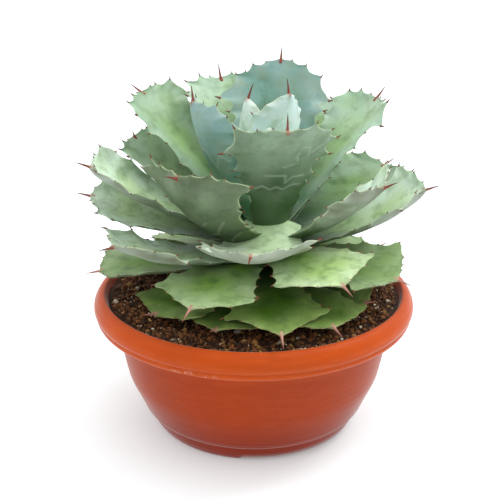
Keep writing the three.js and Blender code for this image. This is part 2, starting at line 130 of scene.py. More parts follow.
# Each tier's leaves, in the order of their numbers.
LEAVES = {
    "heart": [
        dict(turn=180, rise=84, bend=4, length=62, width=22, height=158, cup=0.6, spine=7, thick=3,
             look="bud"),
        dict(turn=-150, rise=79, bend=12, length=76, width=38, height=157, cup=0.5, widest=0.6, look="heart"),
        dict(turn=-51, rise=85, bend=-6, length=80, width=40, height=158, cup=0.5, spine=12, widest=0.66,
             look="frost"),
    ],
    "upper": [
        dict(turn=80, rise=67, bend=-6, length=103, width=59, height=152, cup=0.22, spine=11, hook=10,
             widest=0.74, roll=-3, taper=2.2, look="teal"),
        dict(turn=-150, rise=49, bend=30, length=97, width=47, height=151, cup=0.44, hook=5, look="slate"),
        dict(turn=116, rise=57, bend=-16, length=103, width=56, height=150, hook=30, taper=3.4, widest=0.82),
        dict(turn=48, rise=45, bend=-10, length=96, width=56, height=149, cup=0.25, taper=3.4, widest=0.82),
        dict(turn=24, rise=46, bend=0, length=104, width=52, height=148, cup=0.24, roll=2, widest=0.86,
             hook=5, taper=2.6),
        dict(turn=156, rise=38, bend=10, length=115, width=55, height=148, cup=0.26, roll=-6, widest=0.88,
             hook=-20, taper=2.6, look="moss"),
        dict(turn=-78, rise=69, bend=-23, length=92, width=58, height=145, cup=0.11, hook=50, neck=0.42,
             flare=1.2, roll=1, taper=3.4, look="grey"),
    ],
    "middle": [
        dict(turn=-97, rise=-22, bend=62, length=92, width=64, height=151, cup=0.3, neckCup=-0.3, hook=-52,
             neck=0.72, flare=1.5, roll=2, taper=0.85, look="crest_painted_light"),
        dict(turn=158, rise=27, bend=6, length=104, width=60, height=143, cup=0.2, roll=-6, spine=5, hook=40,
             widest=0.84, taper=3, look="moss"),
        dict(turn=96, rise=30, bend=0, length=102, width=58, height=142),
        dict(turn=66, rise=24, bend=6, length=100, width=58, height=141),
        dict(turn=-130, rise=12, bend=60, length=102, width=70, height=138, cup=0.32, neckCup=0.3, hook=-60,
             neck=0.35, roll=1, widest=0.88, taper=2.8, look="olive"),
        dict(turn=128, rise=22, bend=6, length=100, width=58, height=140),
        dict(turn=-32, rise=20, bend=27, length=92, width=60, height=137, cup=0.34, roll=3, neck=0.42,
             widest=0.88, hook=-20, taper=2.2, look="silver"),
        dict(turn=34, rise=13, bend=10, length=99, width=56, height=138, hook=0, taper=3, widest=0.84,
             look="moss"),
        dict(turn=-172, rise=15, bend=23, length=119, width=57, height=139.5, cup=0.3, neck=0.47, widest=0.9,
             hook=-20, roll=-3, taper=2.2, look="silver"),
        dict(turn=-5, rise=7, bend=34, length=106, width=59, height=133, cup=0.32, neck=0.55, roll=3,
             widest=0.88, hook=-25, taper=2.2, look="silver"),
        dict(turn=179, rise=4, bend=22, length=113, width=61, height=137, cup=0.3, neck=0.35, widest=0.82,
             roll=-12, hook=-15, taper=2.2, look="silver"),
        dict(turn=-145, rise=-2, bend=33, length=111, width=65, height=130, cup=0.2, neckCup=-0.1,
             widest=0.82, hook=-35, roll=3, taper=1.8, look="silver"),
        dict(turn=82, rise=4, bend=10, length=95, width=58, height=131),
        dict(turn=50, rise=2, bend=10, length=98, width=56, height=130),
        dict(turn=112, rise=3, bend=10, length=98, width=58, height=130),
        dict(turn=146, rise=2, bend=14, length=98, width=56, height=129),
    ],
    "lower": [
        dict(turn=-61, rise=12, bend=-20, length=90, width=68, height=129, cup=0.03, roll=5, hook=-10,
             widest=0.76, neck=0.42, flare=1.7, taper=1.1, look="fresh"),
        dict(turn=-29, rise=6, bend=-15, length=90, width=64, height=123, cup=0.14, hook=-5, widest=0.82,
             roll=4, taper=1.8, look="dull"),
        dict(turn=-117, rise=10, bend=-27, length=95, width=65, height=124, cup=-0.05, hook=-10, neck=0.42,
             flare=1.7, taper=1.1, look="green"),
        dict(turn=-174, rise=-2, bend=-3, length=103, width=56, height=120, cup=0.2, widest=0.88, hook=-5,
             roll=-1, taper=2, look="dull"),
        dict(turn=-84, rise=1, bend=-17, length=92, width=59, height=117, cup=-0.06, hook=-10, widest=0.75,
             neck=0.42, flare=1.7, taper=1.1, look="deep"),
        dict(turn=66, rise=0, bend=-10, length=96, width=58, height=116, cup=0.1, look="green"),
        dict(turn=130, rise=0, bend=-10, length=94, width=58, height=117, cup=0.1, look="green"),
        dict(turn=2, rise=0, bend=-8, length=80, width=54, height=114, cup=0.2, look="green"),
        dict(turn=98, rise=0, bend=-10, length=93, width=58, height=113, cup=0.1, look="green"),
        dict(turn=30, rise=0, bend=-8, length=88, width=54, height=112, cup=0.2, look="green"),
        dict(turn=160, rise=0, bend=-8, length=88, width=56, height=111, cup=0.2, look="green"),
        dict(turn=-62, rise=2, bend=-12, length=86, width=57, height=110, cup=0, hook=-5, widest=0.84,
             taper=1.5, look="deep"),
        dict(turn=-139, rise=2, bend=-12, length=84, width=64, height=108, cup=0.04, widest=0.84, roll=4,
             taper=1.4, look="deep"),
        dict(turn=-109, rise=2, bend=-8, length=82, width=56, height=106, cup=0, taper=1.6, widest=0.78,
             look="deep"),
        dict(turn=-30, rise=1, bend=-8, length=71, width=50, height=106, cup=0.1, look="deep"),
    ],
}

# Teeth from the stem to the tip: places below the widest point as parts of the margin up to there, places
# above it as parts of the margin that is left, and sizes as parts of the tier's.
TEETH_BELOW = (0.68, 0.55, 0.42, 0.28, 0.14)
TEETH_ABOVE = (0.28, 0.54, 0.78)
TOOTH_SIZES_BELOW = (0.3, 0.45, 0.6, 0.75, 0.85, 1.15)
TOOTH_SIZES_BLUNT_END = (0.85, 0.6, 0.35)
TOOTH_SIZES_SHARP_END = (0.5, 0.35, 0.25)
TIER_TOOTH = {"heart": 0.09, "upper": 0.13, "middle": 0.095, "lower": 0.06}  # as parts of the leaf's width

# A leaf's sRGB colours: its face, the face's greener middle, its back, and both near the stem, where the
# colour is mostly darker: painted shade among the crowded leaf bases as well as the base's own deeper green.
# bloom: its wax.
# Some looks were brightened so their leaves come out as bright as they appear where they stand: besides the
# leaves' own colours they hold painted light.
LOOKS = {
    "bud": dict(face="#a9cf96", core="#86b566", back="#c4dcb8", root="#6fa05a", bloom=0.3),
    # painted light: near-white colours that brighten the heart's leaves, which lie in the shade of others
    "heart": dict(face="#e8f4f4", core="#cae4d6", back="#e6f4ee", root="#a4ccb4", bloom=1.0),
    "frost": dict(face="#d2e6e8", core="#b4d4cc", back="#cfe4e6", root="#8cb8a4", bloom=0.9),
    "teal": dict(face="#84aaa6", core="#74a08e", back="#a3c4bb", root="#3a7050", bloom=0.9),
    "slate": dict(face="#a4c4b8", core="#93b8a0", back="#7c9f9e", root="#3f7050", bloom=0.7),
    "grey": dict(face="#b3cfb4", core="#98bb84", back="#7d8e79", root="#1c4014", bloom=0.3),
    "olive": dict(face="#a3bd94", core="#86a865", back="#525f42", root="#20340f", bloom=0.1),
    # painted light: a near-white face and a pale stem end that brighten a leaf lying in the shade of the
    # leaves above it
    "crest_painted_light": dict(face="#e6f6e4", core="#daf0c4", back="#828470", root="#b4d49c", bloom=0.7),
    "silver": dict(face="#d8eeda", core="#c6e2aa", back="#6b6e58", root="#2a5424", bloom=0.6),
    "pale": dict(face="#acc9b2", core="#9cbe82", back="#7f8c70", root="#2c6038", bloom=0.7),
    "moss": dict(face="#9cba9c", core="#86ab6c", back="#74866a", root="#25562e", bloom=0.5),
    "fresh": dict(face="#c8e0ae", core="#acd07c", back="#8a9270", root="#34601a", bloom=0.4),
    "green": dict(face="#b0ca94", core="#84ac4c", back="#78825e", root="#264c10", bloom=0.35),
    "dull": dict(face="#9cb682", core="#789f48", back="#6c7856", root="#22440e", bloom=0.3),
    "deep": dict(face="#84a052", core="#4c701c", back="#5c6c3c", root="#1a3408", bloom=0.15),
}
OLD_LOOKS = ("fresh", "green", "dull", "deep")  # with duller margins and spines
RUBBED_LOOKS = ("grey", "olive", "slate")  # with no bloom on the back's foot
MARGIN_COLOUR = "#d3dcae"
OLD_MARGIN_COLOUR = "#b3ab78"
SPINE_COLOURS = ("#9a4c3a", "#481410")  # at the foot and at the point
TOOTH_FOOT_COLOUR = "#84503a"
OLD_SPINE_COLOURS = ("#c99a86", "#8a4a40")


def srgb(text):
    """A hex colour as linear red, green and blue."""
    values = np.array([int(text[i : i + 2], 16) for i in (1, 3, 5)]) / 255
    return np.where(values <= 0.04045, values / 12.92, ((values + 0.055) / 1.055) ** 2.4)


def smooth(t):
    t = np.clip(t, 0.0, 1.0)
    return t * t * (3 - 2 * t)


def bell(values, middle, width):
    return np.exp(-(((values - middle) / width) ** 2))


def mix(a, b, t):
    """Arrays of colours mixed by an array of parts. b may be a single colour."""
    t = np.clip(t, 0, 1)[..., None]
    return a * (1 - t) + b * t


def waves(points, wavelength, seed, count=7):
    """A smooth random field from -1 to 1 over rows of points: plane waves of about one wavelength."""
    rng = np.random.default_rng(seed)
    total = np.zeros(points.shape[:-1])
    for _ in range(count):
        direction = rng.normal(size=points.shape[-1])
        direction /= np.linalg.norm(direction)
        pace = 2 * math.pi / (wavelength * rng.uniform(0.7, 1.5))
        total += np.sin(points @ direction * pace + rng.uniform(0, 2 * math.pi))
    return total / count * 1.6


# ---- Meshes ----


def new_piece(name, verts_mm, quads=(), tris=(), smooth_faces=True, **attributes):
    """A mesh object from points in millimetres, with numbers, places or a colour, tint, on its points."""
    verts = np.asarray(verts_mm, float).reshape(-1, 3) * MM
    quads = np.asarray(quads, np.int32).reshape(-1, 4)
    tris = np.asarray(tris, np.int32).reshape(-1, 3)
    mesh = bpy.data.meshes.new(name)
    mesh.vertices.add(len(verts))
    mesh.vertices.foreach_set("co", verts.ravel())
    corners = np.concatenate([quads.ravel(), tris.ravel()])
    mesh.loops.add(len(corners))
    mesh.loops.foreach_set("vertex_index", corners)
    starts = np.concatenate([np.arange(len(quads)) * 4, quads.size + np.arange(len(tris)) * 3])
    mesh.polygons.add(len(starts))
    mesh.polygons.foreach_set("loop_start", starts.astype(np.int32))
    mesh.polygons.foreach_set("use_smooth", np.full(len(starts), smooth_faces))
    mesh.update(calc_edges=True)
    mesh.validate()
    for key, values in attributes.items():
        values = np.asarray(values, float)
        kind, field = ("FLOAT", "value") if values.ndim == 1 else ("FLOAT_VECTOR", "vector")
        if key == "tint":
            kind, field = "FLOAT_COLOR", "color"
            values = np.column_stack([values, np.ones(len(values))])
        mesh.attributes.new(key, kind, "POINT").data.foreach_set(field, values.ravel())
    obj = bpy.data.objects.new(name, mesh)
    bpy.context.scene.collection.objects.link(obj)
    return obj


def finish_piece(obj, material, slot, *nodes):
    obj.data.materials.append(material)
    if nodes:
        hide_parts(*nodes)
    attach(obj, BODY)


class Shape:
    """Gathers closed shells into one mesh. An extra has a value for each point, or one for all."""

    def __init__(self):
        self.points, self.quads, self.tris, self.count = [], [], [], 0
        self.extras = {}

    def add(self, points, quads=(), tris=(), **extras):
        points = np.asarray(points, float).reshape(-1, 3)
        if len(quads):
            self.quads.append(np.asarray(quads, np.int32) + self.count)
        if len(tris):
            self.tris.append(np.asarray(tris, np.int32) + self.count)
        self.points.append(points)
        for key, value in extras.items():
            value = np.asarray(value, float)
            if value.shape in ((), (3,)):
                value = np.broadcast_to(value, (len(points), *value.shape))
            self.extras.setdefault(key, []).append(value)
        self.count += len(points)

    def attributes(self):
        return {key: np.concatenate(values) for key, values in self.extras.items()}

    def arrays(self):
        quads = np.concatenate(self.quads) if self.quads else ()
        tris = np.concatenate(self.tris) if self.tris else ()
        return np.concatenate(self.points), quads, tris


def ring_faces(rings, around):
    """Quads between rings of points that follow one another."""
    r, k = np.meshgrid(np.arange(rings - 1), np.arange(around), indexing="ij")
    a = (r * around + k).ravel()
    b = (r * around + (k + 1) % around).ravel()
    return np.stack([a, b, b + around, a + around], axis=1)


def end_fans(rings, around):
    """Triangles that close both ends of such rings, to middle points that follow the rings' own."""
    count = rings * around
    here = np.arange(around)
    after = (here + 1) % around
    last = count - around
    return np.concatenate([
        np.stack([np.full_like(here, count), after, here], axis=1),
        np.stack([np.full_like(here, count + 1), last + here, last + after], axis=1),
    ])


# ---- Material nodes ----


class Graph:
    """A node tree with short ways to add and join nodes."""

    def __init__(self, tree):
        self.tree = tree

    def node(self, kind, **settings):
        made = self.tree.nodes.new(kind)
        for key, value in settings.items():
            setattr(made, key, value)
        return made

    def join(self, source, target):
        self.tree.links.new(source, target)

    def maths(self, operation, a, b):
        made = self.node("ShaderNodeMath", operation=operation)
        for socket, value in zip(made.inputs, (a, b)):
            if isinstance(value, (int, float)):
                socket.default_value = value
            else:
                self.join(value, socket)
        return made.outputs[0]


class Nodes(Graph):
    """A new material's nodes."""

    def __init__(self, name):
        self.material = bpy.data.materials.new(name)
        self.material.use_nodes = True
        super().__init__(self.material.node_tree)
        self.shader = self.tree.nodes["Principled BSDF"]

    def attribute(self, name):
        return self.node("ShaderNodeAttribute", attribute_name=name)

    def noise(self, vector, scale, detail=3.0, roughness=0.55):
        made = self.node("ShaderNodeTexNoise")
        made.inputs["Scale"].default_value = scale
        made.inputs["Detail"].default_value = detail
        made.inputs["Roughness"].default_value = roughness
        self.join(vector, made.inputs["Vector"])
        return made.outputs["Fac"]

    def stretched(self, vector, scale):
        made = self.node("ShaderNodeMapping")
        made.inputs["Scale"].default_value = scale
        self.join(vector, made.inputs["Vector"])
        return made.outputs["Vector"]

    def position(self):
        return self.node("ShaderNodeTexCoord").outputs["Object"]

    def remap(self, value, low, high, to_low=0.0, to_high=1.0):
        made = self.node("ShaderNodeMapRange")
        self.join(value, made.inputs["Value"])
        for key, number in (("From Min", low), ("From Max", high), ("To Min", to_low), ("To Max", to_high)):
            made.inputs[key].default_value = number
        return made.outputs["Result"]

    def mix(self, a, b, factor, blend="MIX"):
        made = self.node("ShaderNodeMix", data_type="RGBA", blend_type=blend)
        for socket, value in ((made.inputs[6], a), (made.inputs[7], b)):
            if isinstance(value, str):
                socket.default_value = (*srgb(value), 1)
            else:
                self.join(value, socket)
        if isinstance(factor, (int, float)):
            made.inputs["Factor"].default_value = factor
        else:
            self.join(factor, made.inputs["Factor"])
        return made.outputs[2]

    def bump(self, height, distance, strength=1.0, normal=None):
        made = self.node("ShaderNodeBump")
        made.inputs["Distance"].default_value = distance
        made.inputs["Strength"].default_value = strength
        self.join(height, made.inputs["Height"])
        if normal is not None:
            self.join(normal, made.inputs["Normal"])
        return made.outputs["Normal"]

    def set(self, **values):
        for key, value in values.items():
            self.shader.inputs[key.replace("_", " ")].default_value = value

    def feed(self, key, socket):
        self.join(socket, self.shader.inputs[key])


# ---- Pot ----


def pot_material():
    """Moulded terracotta-coloured plastic: satin, a little uneven in colour, with a pale haze of dust."""
    n = Nodes("pot_plastic")
    place = n.position()
    broad = n.noise(place, 14.0, 4.0)
    fine = n.noise(place, 900.0, 2.0)
    rings = n.noise(n.stretched(place, (60.0, 60.0, 420.0)), 1.0, 3.0)
    colour = n.mix("#c04a0a", "#ae4007", n.remap(broad, 0.3, 0.7))
    colour = n.mix(colour, "#c85616", n.remap(rings, 0.45, 0.8, 0.0, 0.5))
    # painted shade: the colour is darkened under the lip and toward the ground
    shade = n.attribute("shade").outputs["Fac"]
    colour = n.mix(colour, n.mix(colour, "#b8863c", 1.0, "MULTIPLY"), shade)
    dust = n.maths("MULTIPLY", n.remap(broad, 0.5, 0.75), n.remap(fine, 0.35, 0.75))
    colour = n.mix(colour, "#cf8456", n.maths("MULTIPLY", dust, 0.12))
    wear = n.attribute("wear").outputs["Fac"]
    worn = n.maths("MULTIPLY", wear, n.remap(n.noise(place, 260.0, 5.0, 0.7), 0.5, 0.66))
    colour = n.mix(colour, "#f0dcc8", n.maths("MULTIPLY", worn, 0.8))
    n.feed("Base Color", colour)
    n.feed("Roughness", n.remap(fine, 0.3, 0.8, 0.42, 0.55))
    n.set(Specular_IOR_Level=0.14, Sheen_Weight=0.42, Sheen_Roughness=0.3)
    grain = n.bump(fine, 0.00006, 0.5)
    n.feed("Normal", n.bump(rings, 0.00012, 0.6, grain))
    return n.material


def make_pot():
    """The pot as one turned shell: its foot ring opened in two places, and drain holes through its floor."""
    outline = np.array(POT_UNDERSIDE + POT_OUTLINE_OUTER + POT_OUTLINE_INNER)
    turns = np.radians(np.arange(POT_SEGMENTS) * 360 / POT_SEGMENTS)
    radius, height = outline[:, 0, None], outline[:, 1, None]
    # Lift the bottom of the foot ring in its two openings.
    into = (np.degrees(turns) - FOOT_GAP_START) % 180
    opening = smooth(into / FOOT_GAP_END) * smooth((FOOT_GAP_SWEEP - into) / FOOT_GAP_END)
    in_ring = (radius > FOOT_RING[0]) * (radius < FOOT_RING[1])
    lifted = np.maximum(height, FOOT_GAP_HEIGHT * opening[None, :] * in_ring)
    height = np.where((height < FOOT_GAP_HEIGHT) & (radius < FOOT_RING[1]), lifted, height)
    height = np.broadcast_to(height, (len(outline), POT_SEGMENTS))
    rings = np.stack([radius * np.cos(turns), radius * np.sin(turns), height], axis=2)
    points = np.concatenate([rings.reshape(-1, 3), [[0, 0, POT_UNDERSIDE_HEIGHT], [0, 0, POT_FLOOR]]])
    x, y, z = points.T
    # Scuffed in front, and faintly further round.
    wear = bell(np.hypot(x, y), SCUFF_RADIUS, 0.9) * bell(z, SCUFF_HEIGHT, 1.3)
    heading = np.degrees(np.arctan2(y, x))
    wear *= bell(heading, -112, 9) + 0.25 * bell(heading, -60, 6)
    # Painted shade: darker under the overhanging lip, and more so toward the ground.
    shade = 0.5 * smooth((LIP_HEIGHT - z) / 4) + 0.45 * smooth((50 - z) / 45)
    quads, fans = ring_faces(len(outline), POT_SEGMENTS), end_fans(len(outline), POT_SEGMENTS)
    obj = new_piece("pot_shell", points, quads, fans, wear=wear, shade=shade)
    cutters = []
    for k in range(DRAIN_HOLES):
        angle = 2 * math.pi * k / DRAIN_HOLES
        place = (DRAIN_CIRCLE * MM * math.cos(angle), DRAIN_CIRCLE * MM * math.sin(angle), 0.0105)
        bpy.ops.mesh.primitive_cylinder_add(vertices=32, radius=DRAIN_RADIUS * MM, depth=0.02, location=place)
        cutters.append(bpy.context.object)
    drill(obj, cutters)
    finish_piece(obj, pot_material(), "pot", "pot")


def drill(obj, cutters):
    """Cuts the cutters out of obj and removes them."""
    for cutter in cutters:
        cut = obj.modifiers.new("hole", "BOOLEAN")
        cut.operation, cut.object, cut.solver = "DIFFERENCE", cutter, "EXACT"
    graph = bpy.context.evaluated_depsgraph_get()
    mesh = bpy.data.meshes.new_from_object(obj.evaluated_get(graph))
    obj.modifiers.clear()
    obj.data = mesh
    for cutter in cutters:
        bpy.data.objects.remove(cutter, do_unlink=True)


# ---- Soil ----


def soil_height(x, y):
    """The mix's surface in millimetres: a low mound with humps and hollows."""
    r = np.hypot(x, y) / SOIL_RADIUS
    points = np.stack([x, y], axis=-1)
    base = SOIL_EDGE + (SOIL_MIDDLE - SOIL_EDGE) * (1 - r**2)
    return base + 1.5 * waves(points, 38, 3) + 0.7 * waves(points, 13, 4)


def soil_material():
    n = Nodes("soil_mix")
    place = n.position()
    clumps = n.noise(place, 260.0, 4.0, 0.65)
    fine = n.noise(place, 1100.0, 3.0)
    colour = n.mix("#150a04", "#46280f", n.remap(clumps, 0.35, 0.7))
    colour = n.mix(colour, "#6e441e", n.remap(fine, 0.55, 0.75, 0.0, 0.6))
    n.feed("Base Color", colour)
    n.set(Roughness=0.95)
    n.feed("Normal", n.bump(clumps, 0.0012, 0.9, n.bump(fine, 0.0004, 0.8)))
    return n.material


def grain_material():
    n = Nodes("soil_grains")
    place = n.position()
    fine = n.noise(place, 1500.0, 3.0)
    tint = n.attribute("tint").outputs["Color"]
    colour = n.mix(tint, "#2a180b", n.remap(fine, 0.5, 0.8, 0.0, 0.5))
    n.feed("Base Color", colour)
    n.set(Roughness=0.85)
    n.feed("Normal", n.bump(fine, 0.0003, 0.7))
    return n.material


def make_soil():
    """The mix's body, closed, with its uneven top, and the grains, chips and pebbles that lie on it."""
    rings, around = 60, 180
    turns = np.arange(around) * 2 * math.pi / around
    radii = SOIL_RADIUS * np.linspace(1, 0.02, rings)
    x, y = radii[:, None] * np.cos(turns), radii[:, None] * np.sin(turns)
    top = np.stack([x, y, soil_height(x, y)], axis=2)
    wall = np.array([[[r * math.cos(t), r * math.sin(t), z] for t in turns] for r, z in SOIL_WALL])
    middle_top = soil_height(np.zeros(1), np.zeros(1))[0]
    points = np.concatenate([
        np.concatenate([wall, top]).reshape(-1, 3), [[0, 0, SOIL_FLOOR], [0, 0, middle_top]]
    ])
    quads, fans = ring_faces(len(wall) + rings, around), end_fans(len(wall) + rings, around)
    obj = new_piece("soil_bed", points, quads, fans)
    finish_piece(obj, soil_material(), "soil", "soil")
    make_grains()


def unit_ball(level):
    """An icosahedron, split level times, as (points, triangles)."""
    golden = (1 + 5**0.5) / 2
    points = [
        (-1, golden, 0), (1, golden, 0), (-1, -golden, 0), (1, -golden, 0),
        (0, -1, golden), (0, 1, golden), (0, -1, -golden), (0, 1, -golden),
        (golden, 0, -1), (golden, 0, 1), (-golden, 0, -1), (-golden, 0, 1),
    ]
    faces = [
        (0, 11, 5), (0, 5, 1), (0, 1, 7), (0, 7, 10), (0, 10, 11), (1, 5, 9), (5, 11, 4), (11, 10, 2),
        (10, 7, 6), (7, 1, 8), (3, 9, 4), (3, 4, 2), (3, 2, 6), (3, 6, 8), (3, 8, 9), (4, 9, 5), (2, 4, 11),
        (6, 2, 10), (8, 6, 7), (9, 8, 1),
    ]
    points = [Vector(p).normalized() for p in points]
    for _ in range(level):
        middles, split = {}, []

        def middle(a, b):
            key = (min(a, b), max(a, b))
            if key not in middles:
                middles[key] = len(points)
                points.append(((points[a] + points[b]) / 2).normalized())
            return middles[key]

        for a, b, c in faces:
            ab, bc, ca = middle(a, b), middle(b, c), middle(c, a)
            split += [(a, ab, ca), (b, bc, ab), (c, ca, bc), (ab, bc, ca)]
        faces = split
    return np.array(points), np.array(faces)


GRAIN_KINDS = [
    # name, share, smallest and largest size across (mm), flatness, colours, ball level
    ("peat", 0.60, (1.2, 3.0), 0.75, ("#4c2c10", "#603612", "#3a1e0a", "#74441c"), 0),
    ("crumb", 0.26, (2.2, 4.8), 0.7, ("#6a3f1c", "#885628", "#4a2a10", "#764820"), 1),
    ("bark", 0.09, (2.0, 5.5), 0.35, ("#a4733a", "#bf9254", "#3e230e"), 0),
    ("perlite", 0.045, (0.9, 2.6), 0.7, ("#e9d9b8", "#d8bf94", "#f2e6cc"), 1),
    ("pebble", 0.005, (3.5, 6.0), 0.65, ("#b7ad9b", "#a39a88", "#cfc3ac"), 1),
]


def make_grains():
    rng = np.random.default_rng(11)
    balls = {level: unit_ball(level) for level in (0, 1)}
    for name, share, sizes, flat, colours, level in GRAIN_KINDS:
        shape = Shape()
        ball, faces = balls[level]
        palette = np.array([srgb(c) for c in colours])
        for _ in range(int(GRAINS * share)):
            r = (SOIL_RADIUS - 2.2) * math.sqrt(rng.uniform(0.08, 1))
            turn = rng.uniform(0, 2 * math.pi)
            x, y = r * math.cos(turn), r * math.sin(turn)
            size = rng.uniform(*sizes) * rng.uniform(0.6, 1.0)
            lumps = 1 + rng.uniform(-0.28, 0.28, len(ball))
            proportions = np.array([1, rng.uniform(0.6, 1), flat * rng.uniform(0.7, 1)])
            body = ball * lumps[:, None] * (size / 2) * proportions
            tilt = rng.normal(scale=0.5, size=2)
            spin = rng.uniform(0, 2 * math.pi)
            body = body @ turn_matrix(spin, tilt[0], tilt[1]).T
            lift = size * flat * rng.uniform(-0.1, 0.42)
            z = soil_height(np.array([x]), np.array([y]))[0] + lift
            tint = palette[rng.integers(len(palette))] * rng.uniform(0.7, 1.15)
            shape.add(body + [x, y, z], tris=faces, tint=tint)
        obj = new_piece(f"soil_{name}", *shape.arrays(), smooth_faces=level > 0, **shape.attributes())
        finish_piece(obj, shared("grains", grain_material), "soil")


def turn_matrix(spin, tilt_x, tilt_y):
    c, s = math.cos(spin), math.sin(spin)
    about_z = np.array([[c, -s, 0], [s, c, 0], [0, 0, 1]])
    c, s = math.cos(tilt_x), math.sin(tilt_x)
    about_x = np.array([[1, 0, 0], [0, c, -s], [0, s, c]])
    c, s = math.cos(tilt_y), math.sin(tilt_y)
    about_y = np.array([[c, 0, s], [0, 1, 0], [-s, 0, c]])
    return about_y @ about_x @ about_z


made_materials = {}


def shared(key, maker):
    """A material that several pieces use, made once."""
    if key not in made_materials:
        made_materials[key] = maker()
    return made_materials[key]


# ---- Plant ----


def axis_at(z):
    return np.array([LEAN_OFFSET + (z - LEAN_START) * LEAN_PER_MM, 0.0, z])


def half_width(leaf, s):
    end = np.clip((s - leaf["widest"]) / (1 - leaf["widest"]), 0, 1)
    rising = leaf["neck"] + (1 - leaf["neck"]) * np.clip(s / leaf["widest"], 0, 1) ** leaf["flare"]
    return np.where(s < leaf["widest"], rising, 1 - end ** leaf["taper"]) * leaf["width"] / 2


def midrib(leaf, s):
    """Distance out, height and slope (radians) along the midrib, which runs straight on past its end."""
    steps = np.linspace(0, MIDRIB_END, MIDRIB_STEPS + 1)
    middle = (steps[1:] + steps[:-1]) / 2
    piece = leaf["length"] * MIDRIB_END / MIDRIB_STEPS

    def slope_of(t):
        return np.radians(leaf["rise"] + leaf["bend"] * np.clip(t, 0, 1) ** 1.3)

    out = ROOT_RADIUS + np.concatenate([[0], np.cumsum(np.cos(slope_of(middle))) * piece])
    up = np.concatenate([[0], np.cumsum(np.sin(slope_of(middle))) * piece])
    return np.interp(s, steps, out), np.interp(s, steps, up), slope_of(s)


def outline_rows(leaf, rows):
    """Parts of the leaf's length with evenly spaced points on the margin, their places along the margin, and
    the widest point's place along it."""
    s = np.linspace(0, 0.9995, 1500)
    half = half_width(leaf, s)
    steps = np.hypot(np.diff(half), np.diff(s) * leaf["length"])
    margin = np.concatenate([[0], np.cumsum(steps)])
    margin /= margin[-1]
    even = np.linspace(0, 1, rows + 1)
    return np.interp(even, margin, s), even, float(np.interp(leaf["widest"], s, margin))


def tooth_places(leaf, corner, rng):
    """For each side, the teeth as (how far along the margin, size in mm, bend out of the blade)."""
    end_sizes = TOOTH_SIZES_BLUNT_END if leaf["taper"] > 2 else TOOTH_SIZES_SHARP_END
    sides = []
    for side in range(2):
        below = corner - corner * np.array(TEETH_BELOW)
        above = corner + (1 - corner) * np.array(TEETH_ABOVE)
        places = np.concatenate([below, [corner], above])
        count = len(places)
        places = places + rng.uniform(-0.018, 0.018, count)
        sizes = np.array([*TOOTH_SIZES_BELOW, *end_sizes])
        sizes = sizes * leaf["width"] * leaf["tooth"] * rng.uniform(0.75, 1.25, count)
        bends = rng.uniform(0.15, 0.6, count) * np.where(np.arange(count) % 2 == side, 1, -0.5)
        sides.append(list(zip(places, sizes, bends)))
    return sides


def lobes(margin, teeth):
    """How far the margin stands out, and bends out of the blade, where it arches from tooth to tooth."""
    places = np.array([0.0, *[k[0] for k in teeth], 1.0])
    sizes = np.array([0.0, *[k[1] for k in teeth], 0.0])
    bends = np.array([0.0, *[k[1] * k[2] for k in teeth], 0.0])
    right = np.clip(np.searchsorted(places, margin, side="right"), 1, len(places) - 1)
    t = (margin - places[right - 1]) / (places[right] - places[right - 1])
    before, after = (1 - t) ** 2.6, t**3.0
    return tuple(each[right - 1] * before + each[right] * after for each in (sizes, bends))


def line_distance(points, line):
    """Shortest distance from each point to a broken line, all in the plane."""
    best = np.full(points.shape[:-1], 1e9)
    for a, b in zip(line[:-1], line[1:]):
        a, b = np.array(a, float), np.array(b, float)
        along = np.clip(((points - a) @ (b - a)) / ((b - a) @ (b - a)), 0, 1)
        best = np.minimum(best, np.linalg.norm(points - (a + along[..., None] * (b - a)), axis=-1))
    return best


# Lines that neighbours' margins left on a leaf's back while it was furled: (part of the length, part of the
# half width) from point to point.
BUD_PRINTS = {
    "leaf_upper_7": [
        [(0.70, 0.36), (0.80, 0.42), (0.80, 0.60), (0.70, 0.66), (0.83, 0.92)],
        [(0.62, 0.08), (0.64, 0.45), (0.70, 0.40)],
        [(0.54, -0.40), (0.53, 0.20), (0.46, 0.22), (0.51, 0.42), (0.49, 0.75)],
        [(0.43, -0.9), (0.41, -0.7), (0.44, -0.5), (0.405, -0.25), (0.43, -0.05), (0.40, 0.2), (0.43, 0.5),
         (0.40, 0.8)],
    ],
    "leaf_upper_2": [
        [(0.66, -0.1), (0.66, 0.16), (0.52, 0.36), (0.62, 0.58), (0.56, 0.8)],
        [(0.84, -0.5), (0.74, -0.30), (0.78, -0.15)],
        [(0.3, -0.3), (0.42, 0.1), (0.40, 0.5)],
    ],
    "leaf_middle_5": [
        [(0.60, -0.4), (0.64, -0.1), (0.58, 0.05), (0.64, 0.3)],
        [(0.30, -0.5), (0.45, -0.2), (0.48, 0.3), (0.62, 0.7)],
        [(0.2, 0.0), (0.34, 0.4), (0.4, 0.8)],
    ],
}


def default_prints(rng):
    """Two scalloped lines that run out from the stem."""
    lines = []
    for side in (-1, 1):
        line = []
        for k in range(9):
            s = 0.16 + 0.07 * k
            line.append((s, side * (0.1 + 0.85 * s + (0.09 if k % 2 else -0.05) + rng.uniform(-0.04, 0.04))))
        lines.append(line)
    return lines


